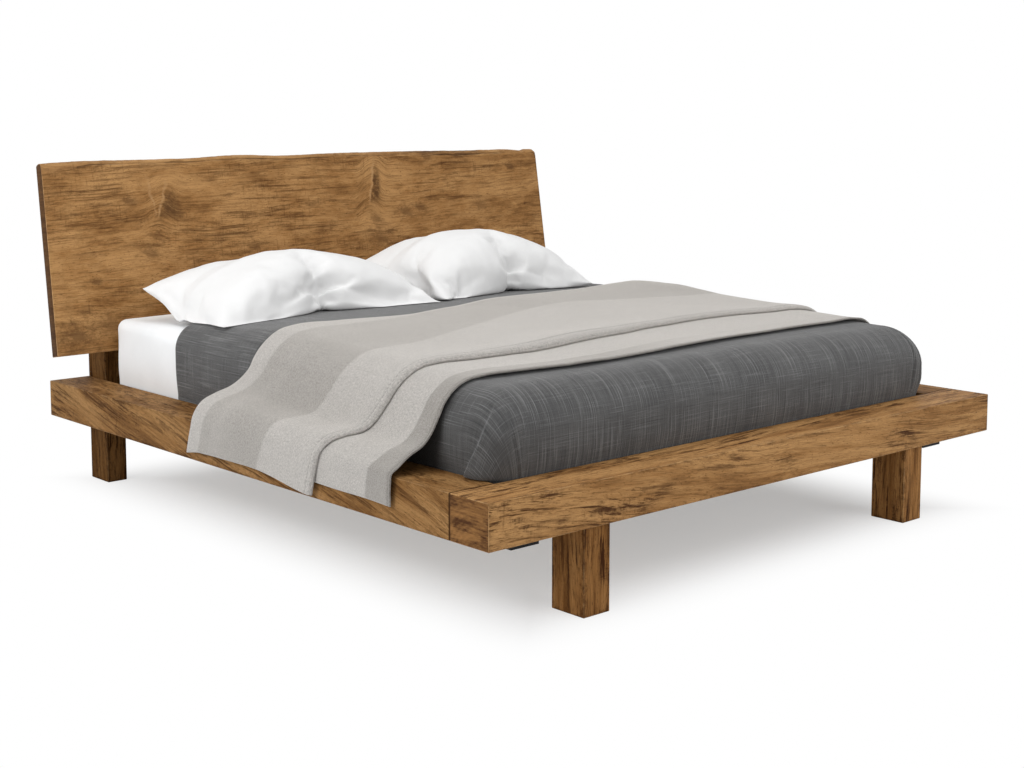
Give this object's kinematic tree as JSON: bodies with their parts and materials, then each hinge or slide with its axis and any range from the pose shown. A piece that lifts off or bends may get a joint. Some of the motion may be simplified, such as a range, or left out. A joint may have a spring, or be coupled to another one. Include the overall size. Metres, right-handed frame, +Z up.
{
  "type": "panel bed",
  "caption": "King platform bed in stained wood with a leaning live-edge slab headboard, thick beams, square legs, a slat deck, mattress, duvet, folded throw and pillows.",
  "frame": {"origin": "centre of the bed's bounding box, on the floor", "axes": "+Z up, +Y towards the headboard, -Y towards the foot, +X to the right of someone standing at the foot and looking at the headboard"},
  "size_m": [2.356, 2.3914, 1.1688],
  "materials": {
    "stained_wood": "dark stain, satin",
    "deck_wood": "bare, planed",
    "black_steel": "black powder coat",
    "zinc_steel": "zinc plated",
    "nylon": "moulded, matt",
    "mattress_ticking": "woven ticking",
    "white_cotton": "smooth woven cotton",
    "charcoal_linen": "slub linen weave",
    "grey_knit": "soft wool cloth in plain grey stripes"
  },
  "bodies": {
    "frame": {"foot_beam": "stained_wood", "left_side_beam": "stained_wood", "right_side_beam": "stained_wood", "front_left_leg": "stained_wood", "front_right_leg": "stained_wood", "front_left_leg_hanger_bolt": "zinc_steel", "front_right_leg_hanger_bolt": "zinc_steel", "left_headboard_post": "stained_wood", "right_headboard_post": "stained_wood", "head_rail": "stained_wood", "headboard_panel": "stained_wood", "left_post_lower_bolt": "zinc_steel", "left_post_upper_bolt": "zinc_steel", "right_post_lower_bolt": "zinc_steel", "right_post_upper_bolt": "zinc_steel", "left_headboard_lower_bolt": "zinc_steel", "left_headboard_upper_bolt": "zinc_steel", "right_headboard_lower_bolt": "zinc_steel", "right_headboard_upper_bolt": "zinc_steel", "left_corner_bracket": "black_steel", "right_corner_bracket": "black_steel", "left_bracket_outer_lag_bolt": "zinc_steel", "left_bracket_inner_lag_bolt": "zinc_steel", "right_bracket_outer_lag_bolt": "zinc_steel", "right_bracket_inner_lag_bolt": "zinc_steel", "left_bracket_front_side_bolt": "zinc_steel", "left_bracket_rear_side_bolt": "zinc_steel", "right_bracket_front_side_bolt": "zinc_steel", "right_bracket_rear_side_bolt": "zinc_steel", "left_ledger": "deck_wood", "right_ledger": "deck_wood", "front_centre_hanger": "black_steel", "rear_centre_hanger": "black_steel", "centre_beam": "deck_wood", "front_centre_leg": "deck_wood", "rear_centre_leg": "deck_wood", "slat_01": "deck_wood", "slat_02": "deck_wood", "slat_03": "deck_wood", "slat_04": "deck_wood", "slat_05": "deck_wood", "slat_06": "deck_wood", "slat_07": "deck_wood", "slat_08": "deck_wood", "slat_09": "deck_wood", "slat_10": "deck_wood", "slat_11": "deck_wood", "slat_12": "deck_wood", "slat_13": "deck_wood"},
    "mattress_set": {"mattress": "mattress_ticking", "fitted_sheet": "white_cotton", "duvet": "charcoal_linen", "throw": "grey_knit"},
    "left_pillow": {"left_pillow": "white_cotton"},
    "right_pillow": {"right_pillow": "white_cotton"},
    "front_levelling_foot": {"front_levelling_foot": "nylon"},
    "rear_levelling_foot": {"rear_levelling_foot": "nylon"}
  },
  "joints": [
    {"name": "mattress_lift", "type": "slide", "parent": "frame", "child": "mattress_set", "axis": [0, 0, 1], "range_m": [0, 0.35]},
    {"name": "left_pillow_lift", "type": "slide", "parent": "mattress_set", "child": "left_pillow", "axis": [0, 0, 1], "range_m": [0, 0.3]},
    {"name": "right_pillow_lift", "type": "slide", "parent": "mattress_set", "child": "right_pillow", "axis": [0, 0, 1], "range_m": [0, 0.3]},
    {"name": "front_foot_level", "type": "slide", "parent": "frame", "child": "front_levelling_foot", "axis": [0, 0, 1], "range_m": [-0.01, 0.01]},
    {"name": "rear_foot_level", "type": "slide", "parent": "frame", "child": "rear_levelling_foot", "axis": [0, 0, 1], "range_m": [-0.01, 0.01]}
  ]
}
